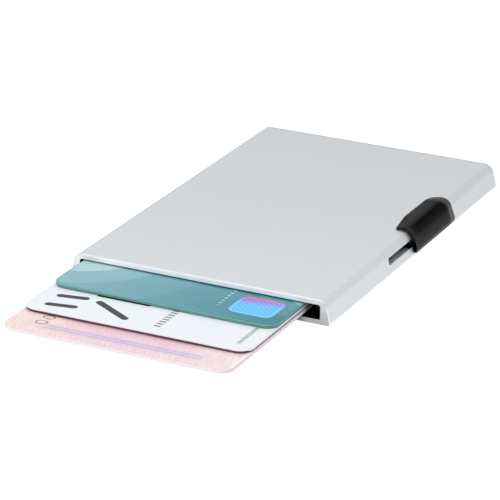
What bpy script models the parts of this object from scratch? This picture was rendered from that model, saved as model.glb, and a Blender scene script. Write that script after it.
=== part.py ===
"""Slide-out card case: a slim aluminium sleeve that holds three cards and pushes them out in steps.

X runs across the case, Y from the open mouth (-Y) to the closed back (+Y), and Z is up. The origin is the
centre of the flat underside. The slider is home, at the back of its slot, and the three cards are fanned out.
Run it with blender --background --python part.py, or from the text editor.
"""
import math

import bmesh
import bpy
from mathutils import Matrix, Vector

MM = 0.001

# Sleeve, one length of extruded tube
CASE_LENGTH = 98.0 * MM
SIDE_WALL = 2.55 * MM               # at the foot, before its corners are rounded
SIDE_LEAN = math.radians(14.0)      # the side walls lean in towards the top
TOP_CORNER_RADIUS = 2.3 * MM
FOOT_CORNER_RADIUS = 0.7 * MM
TOP_WALL = 1.2 * MM
FLOOR_WALL = 1.2 * MM
CAVITY_TOP_RADIUS = 0.6 * MM
CAVITY_FLOOR_RADIUS = 0.2 * MM
RIM_BEVEL = 0.3 * MM                # round the outer edge of both ends
MOUTH_FLARE = 0.12 * MM             # chamfer round the inner edge of the mouth

# Slot in the right-hand wall
SLOT_FRONT = 33.3 * MM              # from the mouth
SLOT_HEIGHT = 1.75 * MM
SLOT_RISE = 0.25 * MM               # its middle line lies this much above the cavity's
SLOT_CORNER_RADIUS = 0.5 * MM

# Clearances
BOND_GAP = 0.05 * MM                # between pieces that are bonded, pressed or screwed together
RUN_GAP = 0.25 * MM                 # between pieces that slide past each other
OVERRUN = 1.0 * MM                  # how far a cutter runs past the face that it cuts

# Cards, the standard bank card size
CARD_LENGTH = 85.6 * MM
CARD_WIDTH = 53.98 * MM
CARD_THICKNESS = 0.76 * MM
CARD_CORNER_RADIUS = 3.18 * MM
CARD_GAP = 0.10 * MM                # between one card and the next
ROOF_GAP = 0.28 * MM                # between the top card and the sleeve
TOP_CARD_OUT = 14.8 * MM            # how far each card stands out of the mouth
MIDDLE_CARD_OUT = 27.7 * MM
BOTTOM_CARD_OUT = 37.2 * MM
TOP_CARD_SHIFT = -0.575 * MM        # how far each card's front edge lies off the lane's middle
MIDDLE_CARD_SHIFT = -0.675 * MM
BOTTOM_CARD_SHIFT = -0.525 * MM
TOP_CARD_TURN = math.radians(-0.1)
MIDDLE_CARD_TURN = 0.0
BOTTOM_CARD_TURN = math.radians(0.1)

# Lane between two guides, in which the cards run
LANE_PLAY = 1.67 * MM               # how much wider it is than a card
LANE_RAIL_GAP = 0.35 * MM           # between the lane and the slider's rail
LEFT_GUIDE_THICKNESS = 0.6 * MM
GUIDE_SETBACK = 3.0 * MM            # from the mouth
RIGHT_GUIDE_END_GAP = 1.0 * MM      # to the rail when the slider is pushed forward
GUIDE_END_RADIUS = 0.5 * MM

# Lining and leaf spring under the cards
BED_HEIGHT = 0.64 * MM              # room for them between the floor and the bottom card
FELT_THICKNESS = 0.42 * MM
FELT_WIDTH = 8.0 * MM
FELT_LENGTH = 44.0 * MM
FELT_INSET = 6.0 * MM               # from the cards' long edges
FELT_CORNER_RADIUS = 1.5 * MM
FELT_SETBACK = 5.0 * MM
LEAF_THICKNESS = 0.15 * MM
LEAF_WIDTH = 7.0 * MM
LEAF_LENGTH = 34.0 * MM
LEAF_RISE = 0.30 * MM               # height of its bow
LEAF_SETBACK = 9.0 * MM
LEAF_STEPS = 12

# End cap, a plug in the back of the tube, with two screws up through the floor
CAP_DEPTH = 2.6 * MM
CAP_RECESS = 0.15 * MM              # how far its outer face lies inside the tube
CAP_SCREW_INSET = 7.4 * MM          # from the cavity's side walls
BUFFER_THICKNESS = 0.45 * MM
BUFFER_LENGTH = 9.0 * MM
BUFFER_HEIGHT = 2.0 * MM
BUFFER_SPREAD = 26.0 * MM
BUFFER_CORNER_RADIUS = 0.6 * MM
MAGNET_WIDTH = 1.7 * MM
MAGNET_HEIGHT = 2.0 * MM
MAGNET_DEPTH = 1.8 * MM
KEEPER_THICKNESS = 0.5 * MM

# Screws and rivets
SCREW_RADIUS = 0.7 * MM
SCREW_HEAD_RADIUS = 1.2 * MM
SCREW_LENGTH = 3.3 * MM
SMALL_SCREW_RADIUS = 0.45 * MM
SMALL_SCREW_HEAD_RADIUS = 0.9 * MM
SMALL_SCREW_LENGTH = 3.4 * MM
HEAD_SINK = 0.06 * MM               # how far a head lies below its surface
DRIVE_WIDTH_SHARE = 0.22            # of the head's radius
DRIVE_DEPTH_SHARE = 0.35
RIVET_RADIUS = 0.8 * MM
RIVET_HEAD_RADIUS = 1.25 * MM
RIVET_SPREAD = 8.0 * MM

# Slider: button outside, carriage inside, neck through the slot
BUTTON_FRONT = 46.3 * MM            # from the mouth, with the slider home
BUTTON_LENGTH = 24.0 * MM
BUTTON_LIFT = 0.12 * MM             # between the button and the sleeve
BUTTON_FRONT_THICKNESS = 1.0 * MM
BUTTON_REAR_THICKNESS = 0.75 * MM   # before it rounds off at the rear
BUTTON_TAIL_THICKNESS = 0.30 * MM   # at the very rear
BUTTON_TAIL_LENGTH = 2.2 * MM       # how far the rounding off reaches
BUTTON_TOP_REACH = 2.0 * MM         # along the flat top, from where the corner ends
BUTTON_FOOT_LEVEL = 0.95 * MM       # height of the lower edge at the front
BUTTON_REAR_RISE = 0.15 * MM        # how much the lower edge climbs by the rear
BUTTON_FRONT_DRAW = 0.65 * MM       # how far the upper edge draws in at the front
BUTTON_DRAW_LENGTH = 6.0 * MM
BUTTON_FRONT_RADIUS = 0.5 * MM
BUTTON_REAR_RADIUS = 3.2 * MM       # at the top
BUTTON_HEEL_RADIUS = 0.8 * MM       # at the rear, down the side
BUTTON_DRAW_RADIUS = 6.0 * MM
BUTTON_EDGE = 0.2 * MM              # rounding of its rim
NECK_LEAD = 1.2 * MM                # how far the neck stands ahead of the button
NECK_LENGTH = 20.0 * MM
NECK_GAP = 0.10 * MM                # above and below the neck in the slot
NECK_CORNER_RADIUS = 0.35 * MM
NECK_SINK = 0.3 * MM                # how far the neck runs into the button
SLOT_END_GAP = 0.4 * MM
RAIL_THICKNESS = 1.9 * MM
RAIL_FLOOR_GAP = 0.3 * MM
RAIL_FRONT_LEAD = 0.4 * MM          # ahead of the slot's front end
RAIL_END_RADIUS = 0.6 * MM
SCREW_INSET = 4.0 * MM              # of the small screws from the neck's ends
TONGUE_THICKNESS = 0.5 * MM
TONGUE_LENGTH = 12.0 * MM           # from the rail towards the middle

# Stepped ejector, which meets each card's tail with a step of its own
STEP_PITCH = 3.5 * MM
EJECTOR_WALL = 1.3 * MM             # thickness of the last, highest step
EJECTOR_FLOOR_GAP = 0.15 * MM

# Names of the two pieces in a pair, from -X to +X
SIDES = ("left", "right")

# Round work
CORNER_STEPS = 8
TURN_STEPS = 24
RIM_STEPS = 2
EDGE_STEPS = 3
BEND_STEPS = 10
TAIL_STEPS = 4
SHARP_ANGLE = math.radians(30.0)    # edges that turn by more than this stay crisp
WELD = 0.001 * MM                   # points closer together than this are one

# Planes and places worked out from the sizes above
CARD_PITCH = CARD_THICKNESS + CARD_GAP
BOTTOM_CARD_LEVEL = FLOOR_WALL + BED_HEIGHT
MIDDLE_CARD_LEVEL = BOTTOM_CARD_LEVEL + CARD_PITCH
TOP_CARD_LEVEL = MIDDLE_CARD_LEVEL + CARD_PITCH
ROOF = TOP_CARD_LEVEL + CARD_THICKNESS + ROOF_GAP
CASE_HEIGHT = ROOF + TOP_WALL
CAVITY_MIDDLE = (FLOOR_WALL + ROOF) / 2
SLOT_LEVEL = CAVITY_MIDDLE + SLOT_RISE
LANE_WIDTH = CARD_WIDTH + LANE_PLAY
CAVITY_WIDTH = BOND_GAP + LEFT_GUIDE_THICKNESS + LANE_WIDTH + LANE_RAIL_GAP + RAIL_THICKNESS + RUN_GAP
FOOT_WIDTH = CAVITY_WIDTH + 2 * SIDE_WALL
LANE_LEFT = BOND_GAP + LEFT_GUIDE_THICKNESS - CAVITY_WIDTH / 2
LANE_RIGHT = LANE_LEFT + LANE_WIDTH
LANE_MIDDLE = (LANE_LEFT + LANE_RIGHT) / 2
MOUTH = -CASE_LENGTH / 2
BACK = CASE_LENGTH / 2
CAP_BACK = BACK - CAP_RECESS
CAP_FRONT = CAP_BACK - CAP_DEPTH
FIRST_STEP_DEPTH = 2 * STEP_PITCH + EJECTOR_WALL
EJECTOR_REAR = CAP_FRONT - BUFFER_THICKNESS - BOND_GAP - RUN_GAP
EJECTOR_FRONT = EJECTOR_REAR - FIRST_STEP_DEPTH
RAIL_OUTER = CAVITY_WIDTH / 2 - RUN_GAP
RAIL_INNER = RAIL_OUTER - RAIL_THICKNESS
RAIL_BOTTOM = FLOOR_WALL + RAIL_FLOOR_GAP
RAIL_TOP = ROOF - RAIL_FLOOR_GAP
NECK_FRONT = MOUTH + BUTTON_FRONT - NECK_LEAD
NECK_REAR = NECK_FRONT + NECK_LENGTH
RAIL_FRONT = MOUTH + SLOT_FRONT - RAIL_FRONT_LEAD
SLOT_REAR = NECK_REAR + SLOT_END_GAP
STROKE = NECK_FRONT - MOUTH - SLOT_FRONT - SLOT_END_GAP
SLIDER_ORIGIN = Vector(((RAIL_INNER + RAIL_OUTER) / 2, (NECK_FRONT + NECK_REAR) / 2, SLOT_LEVEL))


def clear_scene():
    """Empty the scene of objects."""
    for item in list(bpy.data.objects):
        bpy.data.objects.remove(item, do_unlink=True)


def finish(name, colour, roughness, metallic):
    """Plain surface with the piece's colour."""
    look = bpy.data.materials.new(name)
    look.use_nodes = True
    shader = look.node_tree.nodes["Principled BSDF"]
    shader.inputs["Base Color"].default_value = (*colour, 1.0)
    shader.inputs["Roughness"].default_value = roughness
    shader.inputs["Metallic"].default_value = metallic
    look.diffuse_color = (*colour, 1.0)
    return look


def along(axis, point, distance):
    """Point of an outline that lies square to the axis, at a distance along it."""
    u, v = point
    if axis == "X":
        return Vector((distance, u, v))
    if axis == "Y":
        return Vector((u, distance, v))
    return Vector((u, v, distance))


def rounded(corners, radii, steps=CORNER_STEPS):
    """Outline through the corners, each one turned into an arc of its own radius."""
    outline = []
    for index, corner in enumerate(corners):
        here = Vector(corner)
        before = (Vector(corners[index - 1]) - here).normalized()
        after = (Vector(corners[(index + 1) % len(corners)]) - here).normalized()
        radius = radii[index] if isinstance(radii, (list, tuple)) else radii
        if radius == 0:
            outline.append(here)
            continue
        half_angle = before.angle(after) / 2
        middle = here + (before + after).normalized() * (radius / math.sin(half_angle))
        start = here + before * (radius / math.tan(half_angle)) - middle
        end = here + after * (radius / math.tan(half_angle)) - middle
        sweep = start.angle_signed(end)
        for step in range(steps + 1):
            turn = Matrix.Rotation(-sweep * step / steps, 2)
            outline.append(middle + turn @ start)
    return outline


def box_corners(u_low, u_high, v_low, v_high):
    """Four corners of a rectangle, one after another."""
    return [(u_low, v_low), (u_high, v_low), (u_high, v_high), (u_low, v_high)]


def prism(outline, axis, start, end):
    """Closed solid whose outline runs along the axis from start to end."""
    solid = bmesh.new()
    ring = [solid.verts.new(along(axis, point, start)) for point in outline]
    face = solid.faces.new(ring)
    grown = bmesh.ops.extrude_face_region(solid, geom=[face])["geom"]
    moved = [item for item in grown if isinstance(item, bmesh.types.BMVert)]
    bmesh.ops.translate(solid, verts=moved, vec=along(axis, (0, 0), end - start))
    bmesh.ops.recalc_face_normals(solid, faces=solid.faces)
    return solid


def turned(profile, axis, centre):
    """Solid of revolution: pairs of radius and height, with the height along the axis."""
    solid = bmesh.new()
    first = "Y" if axis == "X" else "X"
    spoke = {"X": Vector((1, 0, 0)), "Y": Vector((0, 1, 0)), "Z": Vector((0, 0, 1))}
    points = [spoke[first] * radius + spoke[axis] * height for radius, height in profile]
    chain = [solid.verts.new(point) for point in points]
    for one, two in zip(chain, chain[1:]):
        solid.edges.new((one, two))
    bmesh.ops.spin(solid, geom=solid.verts[:] + solid.edges[:], cent=(0, 0, 0), axis=spoke[axis],
                   angle=2 * math.pi, steps=TURN_STEPS, use_merge=True)
    bmesh.ops.remove_doubles(solid, verts=solid.verts, dist=WELD)
    bmesh.ops.recalc_face_normals(solid, faces=solid.faces)
    bmesh.ops.translate(solid, verts=solid.verts, vec=centre)
    return solid


def joined(solids):
    """One mesh that holds several separate solids."""
    whole = bmesh.new()
    for solid in solids:
        mesh = bpy.data.meshes.new("part_of_group")
        solid.to_mesh(mesh)
        solid.free()
        whole.from_mesh(mesh)
        bpy.data.meshes.remove(mesh)
    return whole


def add(name, solid, look, origin=(0, 0, 0), parent=None, smooth=False):
    """Object from a solid that was made in place, with its origin where it is asked for."""
    mesh = bpy.data.meshes.new(name)
    origin = Vector(origin)
    bmesh.ops.translate(solid, verts=solid.verts, vec=-origin)
    solid.to_mesh(mesh)
    solid.free()
    item = bpy.data.objects.new(name, mesh)
    bpy.context.scene.collection.objects.link(item)
    item.location = origin
    if parent:
        item.parent = parent
        item.location = origin - parent.location
    if look:
        mesh.materials.append(look)
    if smooth:
        mesh.shade_smooth()
        mesh.set_sharp_from_angle(angle=SHARP_ANGLE)
    return item


def add_empty(name, place, parent=None):
    """Empty that stands on a joint's line and carries what moves there."""
    item = bpy.data.objects.new(name, None)
    bpy.context.scene.collection.objects.link(item)
    item.location = place if parent is None else place - parent.location
    item.parent = parent
    return item


def combine(target, name, solid, operation="DIFFERENCE"):
    """Cut a solid out of the target, or join it on, with a live Boolean."""
    tool = add(name, solid, None)
    tool.hide_render = True
    tool.display_type = "WIRE"
    change = target.modifiers.new(name, "BOOLEAN")
    change.operation = operation
    change.solver = "EXACT"
    change.object = tool
    return tool


def case_outline():
    """Outer section of the sleeve: flat underside, leaning sides, soft top corners."""
    foot = FOOT_WIDTH / 2
    top = foot - CASE_HEIGHT * math.tan(SIDE_LEAN)
    corners = [(-foot, 0), (foot, 0), (top, CASE_HEIGHT), (-top, CASE_HEIGHT)]
    radii = [FOOT_CORNER_RADIUS, FOOT_CORNER_RADIUS, TOP_CORNER_RADIUS, TOP_CORNER_RADIUS]
    return rounded(corners, radii)


def cavity_outline(shrink=0, flare=0):
    """Inner section, drawn in by a clearance or let out by a flare."""
    half = CAVITY_WIDTH / 2 - shrink + flare
    corners = box_corners(-half, half, FLOOR_WALL + shrink - flare, ROOF - shrink + flare)
    radii = [CAVITY_FLOOR_RADIUS, CAVITY_FLOOR_RADIUS, CAVITY_TOP_RADIUS, CAVITY_TOP_RADIUS]
    return rounded(corners, radii)


def mouth_flare_cutter():
    """Short funnel that chamfers the mouth's inner edge."""
    solid = bmesh.new()
    for flare, place in ((0, MOUTH + MOUTH_FLARE), (2 * MOUTH_FLARE, MOUTH - MOUTH_FLARE)):
        ring = [solid.verts.new(along("Y", point, place)) for point in cavity_outline(flare=flare)]
        solid.faces.new(ring)
    bmesh.ops.bridge_loops(solid, edges=solid.edges[:])
    bmesh.ops.recalc_face_normals(solid, faces=solid.faces)
    return solid


def make_shell(look):
    """Sleeve: the tube with its bevelled ends, its cavity, the slot and two screw holes."""
    solid = prism(case_outline(), "Y", MOUTH, BACK)
    rims = [edge for edge in solid.edges if edge.verts[0].co.y == edge.verts[1].co.y]
    bmesh.ops.bevel(solid, geom=rims, offset=RIM_BEVEL, segments=RIM_STEPS, profile=0.5, affect="EDGES",
                    material=-1)
    shell = add("shell", solid, look, smooth=True)
    combine(shell, "cavity_cutter", prism(cavity_outline(), "Y", MOUTH - OVERRUN, BACK + OVERRUN))
    combine(shell, "mouth_flare_cutter", mouth_flare_cutter())
    slot = rounded(box_corners(MOUTH + SLOT_FRONT, SLOT_REAR, SLOT_LEVEL - SLOT_HEIGHT / 2,
                               SLOT_LEVEL + SLOT_HEIGHT / 2), SLOT_CORNER_RADIUS)
    combine(shell, "slot_cutter", prism(slot, "X", CAVITY_WIDTH / 2 - OVERRUN, FOOT_WIDTH / 2 + OVERRUN))
    holes = [turned(screw_profile(SCREW_RADIUS, SCREW_HEAD_RADIUS, FLOOR_WALL + OVERRUN, BOND_GAP, OVERRUN),
                    "Z", place) for place in cap_screw_places()]
    combine(shell, "screw_hole_cutter", joined(holes))
    return shell


def screw_profile(radius, head_radius, length, gap=0, run_out=0):
    """Half section of a countersunk screw whose head faces down, or of the hole that takes it."""
    head = head_radius + gap
    shank = radius + gap
    cone = head_radius - radius
    return [(0, -run_out), (head, -run_out), (head, HEAD_SINK), (shank, HEAD_SINK + cone), (shank, length),
            (0, length)]


def cap_screw_places():
    """Where the two screws come up through the floor into the end cap."""
    middle = (CAP_FRONT + CAP_BACK) / 2
    reach = CAVITY_WIDTH / 2 - CAP_SCREW_INSET
    return [Vector((side * reach, middle, 0)) for side in (-1, 1)]


def drive_cross(head_radius, centre, axis):
    """Two crossed bars that cut the driver's recess into a screw's head."""
    width = head_radius * DRIVE_WIDTH_SHARE / 2
    reach = head_radius * (1 - DRIVE_WIDTH_SHARE)
    depth = HEAD_SINK + head_radius * DRIVE_DEPTH_SHARE
    bars = []
    for u, v in ((reach, width), (width, reach)):
        bar = prism(box_corners(-u, u, -v, v), axis, -depth, depth)
        bmesh.ops.translate(bar, verts=bar.verts, vec=centre)
        bars.append(bar)
    return bars


def make_screw(name, look, axis, place, radius, head_radius, length, parent=None):
    """Countersunk screw with a crossed recess, its head facing back along the axis."""
    cone = head_radius - radius
    profile = [(0, HEAD_SINK), (head_radius, HEAD_SINK), (radius, HEAD_SINK + cone), (radius, length),
               (0, length)]
    origin = SLIDER_ORIGIN if parent else (0, 0, 0)
    screw = add(name, turned(profile, axis, place), look, origin, parent, smooth=True)
    for number, bar in enumerate(drive_cross(head_radius, place, axis)):
        combine(screw, f"{name}_drive_cutter_{number}", bar)
    return screw


def make_end_cap(look, screw_look, buffer_look, magnet_look):
    """Plug that closes the back, with its screws, rubber buffers and catch magnet."""
    cap = add("end_cap", prism(cavity_outline(shrink=BOND_GAP), "Y", CAP_FRONT, CAP_BACK), look, smooth=True)
    places = cap_screw_places()
    holes = [turned([(0, 0), (SCREW_RADIUS + BOND_GAP, 0), (SCREW_RADIUS + BOND_GAP, SCREW_LENGTH + BOND_GAP),
                     (0, SCREW_LENGTH + BOND_GAP)], "Z", place) for place in places]
    combine(cap, "cap_hole_cutter", joined(holes))

    for side, place in zip(SIDES, places):
        make_screw(f"cap_screw_{side}", screw_look, "Z", place, SCREW_RADIUS, SCREW_HEAD_RADIUS, SCREW_LENGTH)

    for name, side in zip(SIDES, (-1, 1)):
        centre = side * BUFFER_SPREAD / 2
        outline = rounded(box_corners(centre - BUFFER_LENGTH / 2, centre + BUFFER_LENGTH / 2,
                                      CAVITY_MIDDLE - BUFFER_HEIGHT / 2, CAVITY_MIDDLE + BUFFER_HEIGHT / 2),
                          BUFFER_CORNER_RADIUS)
        pad = prism(outline, "Y", CAP_FRONT - BOND_GAP - BUFFER_THICKNESS, CAP_FRONT - BOND_GAP)
        add(f"end_buffer_{name}", pad, buffer_look, smooth=True)

    add("catch_magnet", catch_block(CAP_FRONT, CAP_FRONT + MAGNET_DEPTH), magnet_look)
    combine(cap, "magnet_pocket_cutter",
            catch_block(CAP_FRONT - OVERRUN, CAP_FRONT + MAGNET_DEPTH + BOND_GAP, BOND_GAP))


def catch_block(start, end, gap=0, outer_run_out=0):
    """Block behind the rail's end, for the magnet, its keeper and their pockets."""
    across = (RAIL_INNER + RAIL_OUTER) / 2
    half_width = MAGNET_WIDTH / 2 + gap
    half_height = MAGNET_HEIGHT / 2 + gap
    return prism(box_corners(across - half_width, across + half_width + outer_run_out,
                             CAVITY_MIDDLE - half_height, CAVITY_MIDDLE + half_height), "Y", start, end)


def make_guides(look):
    """Two plastic strips that keep the cards straight: a long one on the left, a short one by the mouth."""
    front = MOUTH + GUIDE_SETBACK
    wall = CAVITY_WIDTH / 2 - BOND_GAP
    low = FLOOR_WALL + CAVITY_FLOOR_RADIUS
    high = ROOF - CAVITY_TOP_RADIUS
    left = rounded(box_corners(-wall, LANE_LEFT, front, CAP_FRONT - BOND_GAP),
                   [0, GUIDE_END_RADIUS, 0, 0])
    add("left_guide", prism(left, "Z", low, high), look, smooth=True)
    right = rounded(box_corners(LANE_RIGHT, wall, front, RAIL_FRONT - STROKE - RIGHT_GUIDE_END_GAP),
                    [GUIDE_END_RADIUS, 0, 0, GUIDE_END_RADIUS])
    add("right_guide", prism(right, "Z", low, high), look, smooth=True)


def make_lining(felt_look, leaf_look):
    """Felt strips on the floor, and between them a bowed leaf spring that steadies the cards."""
    low = FLOOR_WALL + BOND_GAP
    front = MOUTH + FELT_SETBACK
    for name, side in zip(SIDES, (-1, 1)):
        centre = LANE_MIDDLE + side * (CARD_WIDTH / 2 - FELT_INSET - FELT_WIDTH / 2)
        outline = rounded(box_corners(centre - FELT_WIDTH / 2, centre + FELT_WIDTH / 2,
                                      front, front + FELT_LENGTH), FELT_CORNER_RADIUS)
        add(f"felt_strip_{name}", prism(outline, "Z", low, low + FELT_THICKNESS), felt_look, smooth=True)

    lower = []
    for step in range(LEAF_STEPS + 1):
        share = step / LEAF_STEPS
        bow = (1 - math.cos(2 * math.pi * share)) / 2
        lower.append((MOUTH + LEAF_SETBACK + LEAF_LENGTH * share, low + LEAF_RISE * bow))
    upper = [(distance, height + LEAF_THICKNESS) for distance, height in reversed(lower)]
    leaf = prism(lower + upper, "X", LANE_MIDDLE - LEAF_WIDTH / 2, LANE_MIDDLE + LEAF_WIDTH / 2)
    add("retaining_spring", leaf, leaf_look, smooth=True)


def bend_over_corner(solid):
    """Wrap a pad that was made flat over the sleeve's right-hand top corner.

    Flat, x is the distance round the section from the end of the flat top, and z the height above it.
    """
    lean = math.pi / 2 - SIDE_LEAN
    top = FOOT_WIDTH / 2 - CASE_HEIGHT * math.tan(SIDE_LEAN)
    centre_x = top - TOP_CORNER_RADIUS * math.tan(lean / 2)
    centre_z = CASE_HEIGHT - TOP_CORNER_RADIUS
    arc = TOP_CORNER_RADIUS * lean
    for vert in solid.verts:
        way, height = vert.co.x, vert.co.z
        angle = min(max(way / TOP_CORNER_RADIUS, 0), lean)
        before = min(way, 0)
        after = max(way - arc, 0)
        reach = TOP_CORNER_RADIUS + height
        vert.co.x = centre_x + before + reach * math.sin(angle) + after * math.cos(angle)
        vert.co.z = centre_z + reach * math.cos(angle) - after * math.sin(angle)


def button_thickness(place):
    """Thickness of the pad at a distance from its front: it thins evenly, then rounds off at the rear."""
    share = min(max(place / BUTTON_LENGTH, 0), 1)
    even = BUTTON_FRONT_THICKNESS + (BUTTON_REAR_THICKNESS - BUTTON_FRONT_THICKNESS) * share
    into_tail = min(max((place - BUTTON_LENGTH + BUTTON_TAIL_LENGTH) / BUTTON_TAIL_LENGTH, 0), 1)
    drop = 1 - math.sqrt(1 - into_tail ** 2)
    return even - (BUTTON_REAR_THICKNESS - BUTTON_TAIL_THICKNESS) * drop


def button_pad():
    """Pad of the button: a flat plate with a rounded rim, bent over the corner."""
    lean = math.pi / 2 - SIDE_LEAN
    arc = TOP_CORNER_RADIUS * lean
    side_start = CASE_HEIGHT - TOP_CORNER_RADIUS * (1 - math.cos(lean))
    upper = -BUTTON_TOP_REACH
    lower = arc + (side_start - BUTTON_FOOT_LEVEL) / math.cos(SIDE_LEAN)
    front = MOUTH + BUTTON_FRONT
    rear = front + BUTTON_LENGTH
    corners = [(upper + BUTTON_FRONT_DRAW, front), (lower, front), (lower - BUTTON_REAR_RISE, rear),
               (upper, rear), (upper, front + BUTTON_DRAW_LENGTH)]
    radii = [BUTTON_FRONT_RADIUS, BUTTON_FRONT_RADIUS, BUTTON_HEEL_RADIUS, BUTTON_REAR_RADIUS,
             BUTTON_DRAW_RADIUS]
    pad = prism(rounded(corners, radii), "Z", BUTTON_LIFT, BUTTON_LIFT + BUTTON_FRONT_THICKNESS)
    crown = BUTTON_LIFT + BUTTON_FRONT_THICKNESS / 2
    rim = [edge for edge in pad.edges if all(vert.co.z > crown for vert in edge.verts)]
    bmesh.ops.bevel(pad, geom=rim, offset=BUTTON_EDGE, segments=EDGE_STEPS, profile=0.5, affect="EDGES",
                    material=-1)
    bend_cuts = [((arc * step / BEND_STEPS, 0, 0), (1, 0, 0)) for step in range(BEND_STEPS + 1)]
    tail_cuts = [((0, rear - BUTTON_TAIL_LENGTH * step / TAIL_STEPS, 0), (0, 1, 0))
                 for step in range(1, TAIL_STEPS + 1)]
    for place, across in bend_cuts + tail_cuts:
        everything = pad.verts[:] + pad.edges[:] + pad.faces[:]
        bmesh.ops.bisect_plane(pad, geom=everything, plane_co=place, plane_no=across, dist=WELD)
    for vert in pad.verts:
        share = (vert.co.z - BUTTON_LIFT) / BUTTON_FRONT_THICKNESS
        vert.co.z = BUTTON_LIFT + share * button_thickness(vert.co.y - front)
    bend_over_corner(pad)
    bmesh.ops.recalc_face_normals(pad, faces=pad.faces)
    return pad


def small_screw_places():
    """Where the small screws pass from the rail into the neck."""
    return [Vector((RAIL_INNER, place, SLOT_LEVEL))
            for place in (NECK_FRONT + SCREW_INSET, NECK_REAR - SCREW_INSET)]


def make_button(look, slider):
    """Button: the pad over the corner and the neck that goes in through the slot."""
    button = add("slider_button", button_pad(), look, SLIDER_ORIGIN, slider, smooth=True)
    neck_half = SLOT_HEIGHT / 2 - NECK_GAP
    outline = rounded(box_corners(NECK_FRONT, NECK_REAR, SLOT_LEVEL - neck_half, SLOT_LEVEL + neck_half),
                      NECK_CORNER_RADIUS)
    side = FOOT_WIDTH / 2 - (SLOT_LEVEL + neck_half) * math.tan(SIDE_LEAN)
    neck = prism(outline, "X", RAIL_OUTER + BOND_GAP, side + BUTTON_LIFT + NECK_SINK)
    combine(button, "neck_join", neck, "UNION")
    hole = SMALL_SCREW_RADIUS + BOND_GAP
    depth = SMALL_SCREW_LENGTH + BOND_GAP
    holes = [turned([(0, 0), (hole, 0), (hole, depth), (0, depth)], "X", place)
             for place in small_screw_places()]
    combine(button, "neck_hole_cutter", joined(holes))
    return button


def make_carriage(look, slider):
    """Carriage: the rail behind the slot and the tongue that carries the ejector."""
    rail = rounded(box_corners(RAIL_INNER, RAIL_OUTER, RAIL_FRONT, EJECTOR_REAR),
                   [RAIL_END_RADIUS, RAIL_END_RADIUS, 0, 0])
    carriage = add("carriage", prism(rail, "Z", RAIL_BOTTOM, RAIL_TOP), look, SLIDER_ORIGIN, slider,
                   smooth=True)
    tongue = prism(box_corners(RAIL_INNER - TONGUE_LENGTH, RAIL_INNER + BOND_GAP,
                               EJECTOR_FRONT, EJECTOR_REAR),
                   "Z", RAIL_BOTTOM, RAIL_BOTTOM + TONGUE_THICKNESS)
    combine(carriage, "tongue_join", tongue, "UNION")
    holes = [turned(screw_profile(SMALL_SCREW_RADIUS, SMALL_SCREW_HEAD_RADIUS, RAIL_THICKNESS + OVERRUN,
                                  BOND_GAP, OVERRUN), "X", place) for place in small_screw_places()]
    combine(carriage, "rail_hole_cutter", joined(holes))
    rivets = [turned([(0, -OVERRUN), (RIVET_RADIUS + BOND_GAP, -OVERRUN), (RIVET_RADIUS + BOND_GAP, RAIL_TOP),
                      (0, RAIL_TOP)], "Z", place) for place in rivet_places()]
    combine(carriage, "tongue_hole_cutter", joined(rivets))
    pocket = catch_block(EJECTOR_REAR - KEEPER_THICKNESS - BOND_GAP, EJECTOR_REAR + OVERRUN,
                         gap=BOND_GAP, outer_run_out=OVERRUN)
    combine(carriage, "keeper_pocket_cutter", pocket)
    return carriage


def make_keeper(look, slider):
    """Steel plate on the carriage that the magnet holds when the slider is home."""
    keeper = catch_block(EJECTOR_REAR - KEEPER_THICKNESS, EJECTOR_REAR)
    return add("keeper_plate", keeper, look, SLIDER_ORIGIN, slider)


def make_button_screws(look, slider):
    """Two small screws that draw the button's neck against the rail."""
    for name, place in zip(("front", "rear"), small_screw_places()):
        make_screw(f"button_screw_{name}", look, "X", place, SMALL_SCREW_RADIUS, SMALL_SCREW_HEAD_RADIUS,
                   SMALL_SCREW_LENGTH, slider)


def rivet_places():
    """Where the rivets hold the ejector on the carriage's tongue."""
    depth = EJECTOR_REAR - EJECTOR_WALL - STEP_PITCH / 2
    centre = RAIL_INNER - TONGUE_LENGTH / 2
    return [Vector((centre + side * RIVET_SPREAD / 2, depth, 0)) for side in (-1, 1)]


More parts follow.
